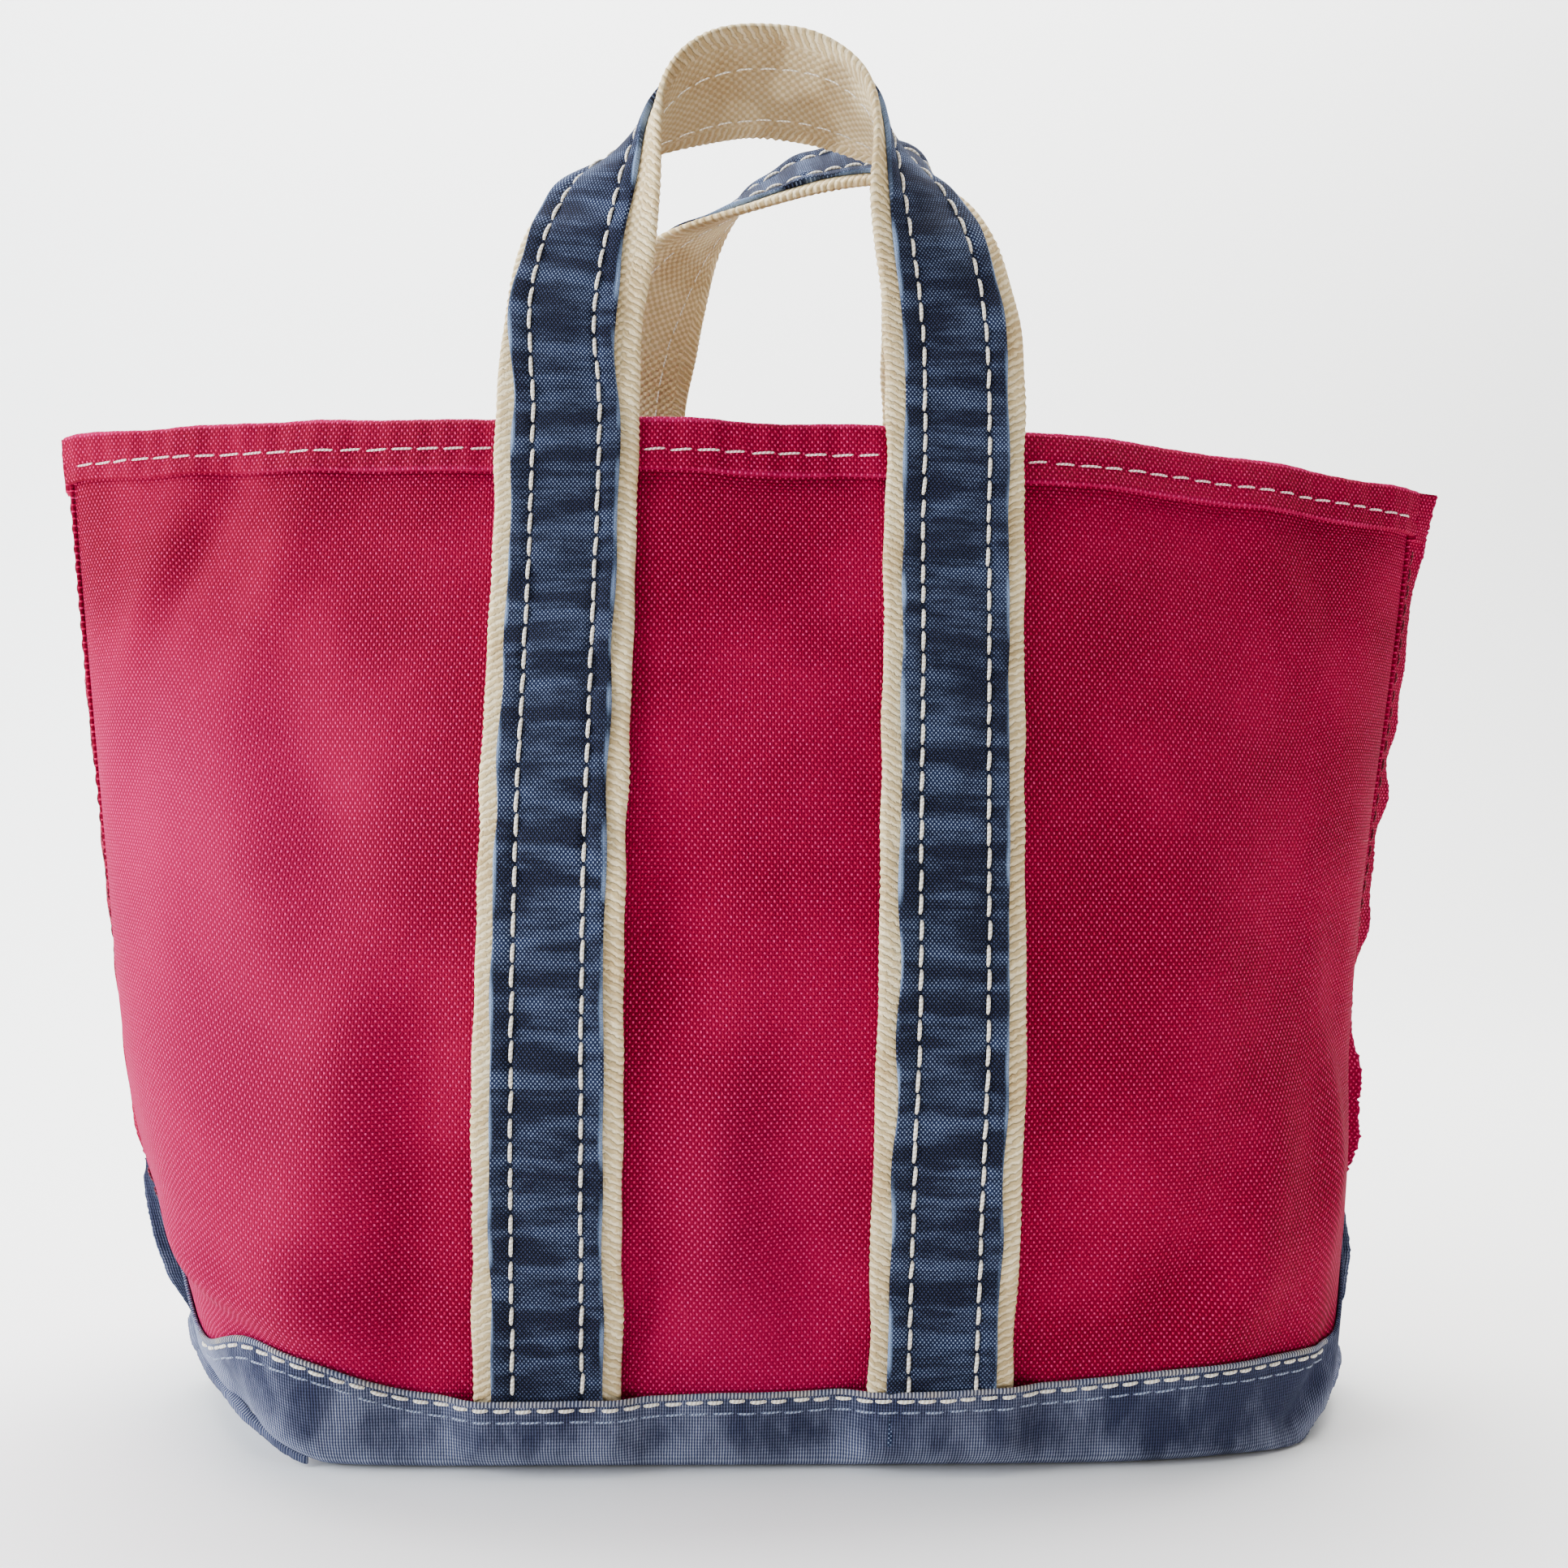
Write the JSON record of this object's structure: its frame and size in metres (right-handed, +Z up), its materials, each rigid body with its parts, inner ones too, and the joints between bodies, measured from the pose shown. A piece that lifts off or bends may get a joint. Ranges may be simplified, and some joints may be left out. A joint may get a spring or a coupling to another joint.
{
  "type": "beach bag",
  "caption": "Small open-top canvas tote with a contrasting boot around the base and webbing handles that flop outwards.",
  "frame": {"origin": "on the floor under the middle of the base", "axes": "+X to the right seen from the front, +Y towards the back panel, +Z up"},
  "size_m": [0.4241, 0.1644, 0.3882],
  "materials": {
    "crimson_canvas": "heavy plain-weave cotton canvas, slightly faded",
    "navy_canvas": "heavy cotton canvas, worn pale along the edges",
    "navy_facing": "narrow folded canvas strip, faded in streaks",
    "cream_webbing": "thick cotton webbing with rope-like edges",
    "cream_thread": "heavy cotton sewing thread"
  },
  "bodies": {
    "bag": {"back_hem": "crimson_canvas", "back_hem_thread": "cream_thread", "back_strap_left_facing": "navy_facing", "back_strap_left_thread": "cream_thread", "back_strap_left_webbing": "cream_webbing", "back_strap_right_facing": "navy_facing", "back_strap_right_thread": "cream_thread", "back_strap_right_webbing": "cream_webbing", "body_back": "crimson_canvas", "body_bottom": "crimson_canvas", "body_front": "crimson_canvas", "boot_back": "navy_canvas", "boot_back_lower_thread": "cream_thread", "boot_back_upper_thread": "cream_thread", "boot_bottom": "navy_canvas", "boot_corner_seam_left": "navy_canvas", "boot_corner_seam_right": "navy_canvas", "boot_front": "navy_canvas", "boot_front_lower_thread": "cream_thread", "boot_front_upper_thread": "cream_thread", "boot_side_seam_left": "navy_canvas", "boot_side_seam_right": "navy_canvas", "front_hem": "crimson_canvas", "front_hem_thread": "cream_thread", "front_strap_left_facing": "navy_facing", "front_strap_left_thread": "cream_thread", "front_strap_left_webbing": "cream_webbing", "front_strap_right_facing": "navy_facing", "front_strap_right_thread": "cream_thread", "front_strap_right_webbing": "cream_webbing", "side_seam_left": "crimson_canvas", "side_seam_left_thread": "cream_thread", "side_seam_right": "crimson_canvas", "side_seam_right_thread": "cream_thread"},
    "front_handle": {"front_handle_facing": "navy_facing", "front_handle_thread": "cream_thread", "front_handle_webbing": "cream_webbing"},
    "back_handle": {"back_handle_facing": "navy_facing", "back_handle_thread": "cream_thread", "back_handle_webbing": "cream_webbing"}
  },
  "joints": [
    {"name": "front_handle_flop", "type": "hinge", "parent": "bag", "child": "front_handle", "pos_m": [0, -0.057, 0.2775], "axis": [1, 0, 0], "range_deg": [-5, 150]},
    {"name": "back_handle_flop", "type": "hinge", "parent": "bag", "child": "back_handle", "pos_m": [0, 0.0528, 0.2775], "axis": [-1, 0, 0], "range_deg": [-5, 150]}
  ]
}
